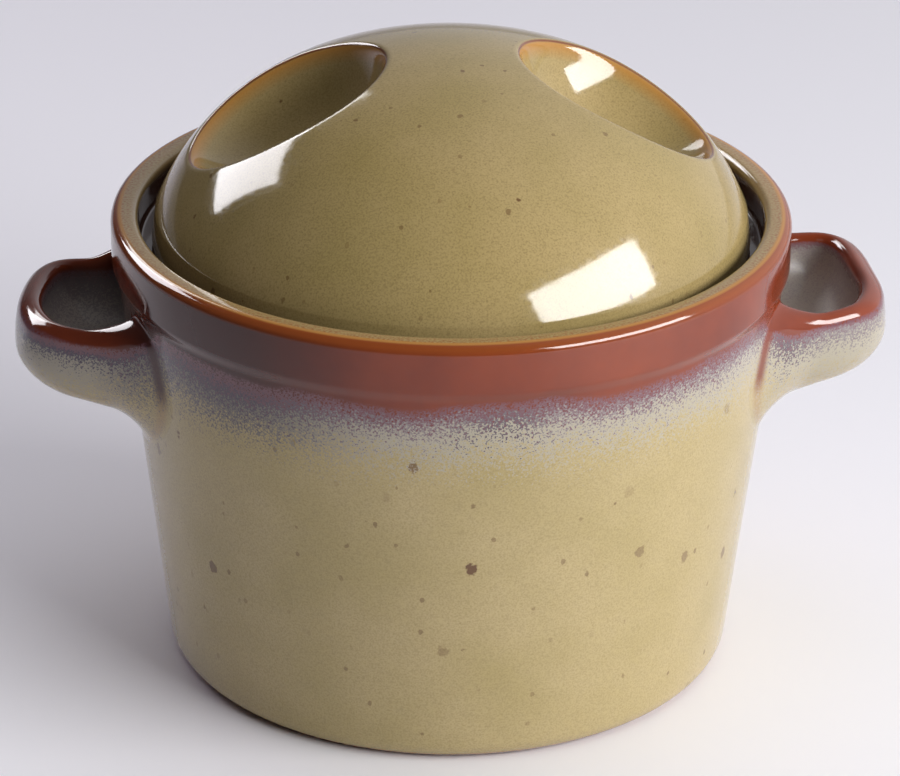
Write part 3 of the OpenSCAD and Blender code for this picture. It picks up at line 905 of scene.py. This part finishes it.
# Reactive glaze on the lugs: rust on the lip, speckle below it, brown runs pooled in the root creases
def lugGlaze():
    p = lugShape
    material, tree, place, parts = startMaterial("dippedLugGlaze")
    sand = sandLayer(tree, place, 1.0, ("olive", "sand"), potShape["spots"], potShape["pepper"])
    rust = rustLayer(tree, place, parts, 4.0)
    depth = dipDepth(tree, parts)
    # In the pocket the dip ends just under the lip
    pocket = addNode(tree, "ShaderNodeAttribute", take="Fac", attribute_name="pocket")
    low, high = (lugTop - s for s in p["pocketBand"])
    within = addNode(tree, "ShaderNodeMapRange", {0: parts["Z"], 1: low, 2: high, 3: 1.0, 4: 0.0})
    pocket = addNode(tree, "ShaderNodeMath", {0: pocket, 1: within}, **times)
    span = dict(zip((1, 2, 3, 4), p["pocketDip"] + p["pocketLevel"]))
    misty = addNode(tree, "ShaderNodeMapRange", {0: depth, **span})
    depth = addNode(tree, "ShaderNodeMix", {0: pocket, 2: depth, 3: misty})
    # In the creases rust runs further down, and leaves an orange trail on the sand glaze
    pool = addNode(tree, "ShaderNodeAttribute", take="Fac", attribute_name="pooling")
    pool = addNode(tree, "ShaderNodeMapRange", {0: pool, 2: p["poolFull"]}, **eased)
    masks = []
    for low, high, strength in p["runs"]:
        mask = addNode(tree, "ShaderNodeMapRange", {0: parts["Z"], 1: low, 2: high, 4: strength}, **eased)
        masks.append(addNode(tree, "ShaderNodeMath", {0: pool, 1: mask}, **times))
    trail, run = masks
    sand = addNode(tree, "ShaderNodeMix", {0: trail, 6: sand, 7: glaze["orangeRust"]}, **asColour)
    colour = reactiveBands(tree, place, parts, sand, rust, depth, 2.0)
    colour = addNode(tree, "ShaderNodeMix", {0: run, 6: colour, 7: rust}, **asColour)
    # Less speckle in the pocket, and less gloss
    smooth = addNode(tree, "ShaderNodeMath", {0: pocket, 1: p["pocketCalm"]}, **times)
    colour = addNode(tree, "ShaderNodeMix", {0: smooth, 6: colour, 7: glaze["slate"]}, **asColour)
    glassyFinish(tree, place, colour, pocket)
    return material


# Pulp paper under the pot, pale and matt
paper = {
    "half": 3.0,  # metres
    "colour": "#f4f3f8",
    "roughness": 0.55,
}


def makeFloor():
    s = paper["half"]
    floor = newPiece("paperFloor", [(-s, -s, 0), (s, -s, 0), (s, s, 0), (-s, s, 0)], [(0, 1, 2, 3)])
    material = bpy.data.materials.new("pulpPaper")
    tree = emptyTree(material)
    shader = addNode(tree, "ShaderNodeBsdfPrincipled",
                     {"Base Color": linear(paper["colour"]), "Roughness": paper["roughness"]})
    addNode(tree, "ShaderNodeOutputMaterial", {"Surface": shader})
    floor.data.materials.append(material)


# Light: a softbox to the front right and a mauve one behind on the left, each with a twin that only shows
# in reflections, a small box for the scoops' rims, a soft fill from above, and a pale wall behind on the
# right. A box's place is its turn, its rise and how far away it is
studio = {
    "boxes": {
        "key": {"place": (54, 26, 1.1), "size": (0.95, 0.38), "power": 13.5},
        "keySheen": {"place": (54, 26, 1.09), "size": (0.95, 0.38), "power": 5.0, "only": "gloss"},
        "side": {"place": (-132, 31, 1.0), "size": (0.50, 0.42), "power": 1.0, "tint": "#f0dcff"},
        "sheen": {"place": (-132, 31, 0.99), "size": (0.50, 0.42), "power": 6.5, "only": "gloss"},
        "rimSheen": {"place": (-155, 36, 0.98), "size": (0.28, 0.28), "power": 1.5, "only": "gloss"},
        "top": {"place": (0, 89, 1.0), "size": (1.0, 1.0), "power": 2.2, "only": "fill"},
    },
    "target": (0, 0, 0.06),
    "walls": "#f4f4fa",
    "dim": 0.04,
    "bright": 0.9,
    "brightWay": (0.85, 0.50, 0.10),
    "brightSpan": (-0.1, 1.0),  # cosine of the angle to it, dim and bright
}


# Direction to a place given by its turn from the front and its rise, in degrees
def wayTo(turn, rise):
    turn, rise = math.radians(turn), math.radians(rise)
    return Vector((math.sin(turn) * math.cos(rise), -math.cos(turn) * math.cos(rise), math.sin(rise)))


def makeLights():
    for name, box in studio["boxes"].items():
        turn, rise, away = box["place"]
        way = wayTo(turn, rise)
        lamp = bpy.data.lights.new(name + "Softbox", "AREA")
        lamp.shape = "RECTANGLE"
        lamp.size, lamp.size_y = box["size"]
        lamp.energy = box["power"]
        lamp.color = linear(box.get("tint", "#ffffff"))[:3]
        place = bpy.data.objects.new(name + "Softbox", lamp)
        place.location = Vector(studio["target"]) + way * away
        place.rotation_euler = way.to_track_quat("Z", "Y").to_euler()
        place.visible_diffuse = box.get("only") != "gloss"
        place.visible_glossy = box.get("only") != "fill"
        bpy.context.scene.collection.objects.link(place)
    world = bpy.data.worlds.new("studioWalls")
    tree = emptyTree(world)
    way = addNode(tree, "ShaderNodeTexCoord", take="Generated")
    facing = addNode(tree, "ShaderNodeVectorMath", {0: way, 1: Vector(studio["brightWay"]).normalized()},
                     take="Value", operation="DOT_PRODUCT")
    far, near = studio["brightSpan"]
    glow = addNode(tree, "ShaderNodeMapRange",
                   {0: facing, 1: far, 2: near, 3: studio["dim"], 4: studio["bright"]}, **eased)
    walls = addNode(tree, "ShaderNodeBackground", {"Color": linear(studio["walls"]), "Strength": glow})
    addNode(tree, "ShaderNodeOutputWorld", {"Surface": walls})
    bpy.context.scene.world = world
    # Glaze colours stay as deep as in the photograph
    bpy.context.scene.view_settings.view_transform = "Standard"


# Camera as in the photograph, fitted to the rim and base ellipses of a 900 by 776 picture
shot = {
    "away": 0.8,
    "turn": -4.5,
    "rise": 25.02,
    "aim": 0.055,
    "roll": 0.52,
    "focalPixels": 4318,
    "pictureWidth": 900,
    "aimAbovePicture": 26.5,
    "sensorWidth": 36,
}


def makeCamera():
    s = shot
    way = wayTo(s["turn"], s["rise"])
    lens = bpy.data.cameras.new("photoCamera")
    lens.sensor_width = s["sensorWidth"]
    lens.lens = s["sensorWidth"] * s["focalPixels"] / s["pictureWidth"]
    lens.shift_y = -s["aimAbovePicture"] / s["pictureWidth"]
    camera = bpy.data.objects.new("photoCamera", lens)
    camera.location = Vector((0, 0, s["aim"])) + way * s["away"]
    facing = way.to_track_quat("Z", "Y").to_matrix() @ Matrix.Rotation(math.radians(s["roll"]), 3, "Z")
    camera.rotation_euler = facing.to_euler()
    bpy.context.scene.collection.objects.link(camera)
    bpy.context.scene.camera = camera


makeCamera()
makeLights()
makeFloor()
print("stage set")
turning = turnedTree()
potBody = makePot(turning, potGlaze())
print("pot turned,", len(potBody.data.polygons), "faces")
lidDome = makeLid(turning, scoopTree(), lidGlaze())
print("lid turned and scooped,", len(lidDome.data.polygons), "faces")
rightLug, leftLug = makeLugs(lugGlaze())
print("lugs pressed on,", len(rightLug.data.polygons), "and", len(leftLug.data.polygons), "faces")

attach(potBody, "pot")
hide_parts("pot_body")
for lug, node in ((rightLug, "right_handle"), (leftLug, "left_handle")):
    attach(lug, "pot")
    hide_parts(node)
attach(lidDome, "lid")
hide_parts("lid")
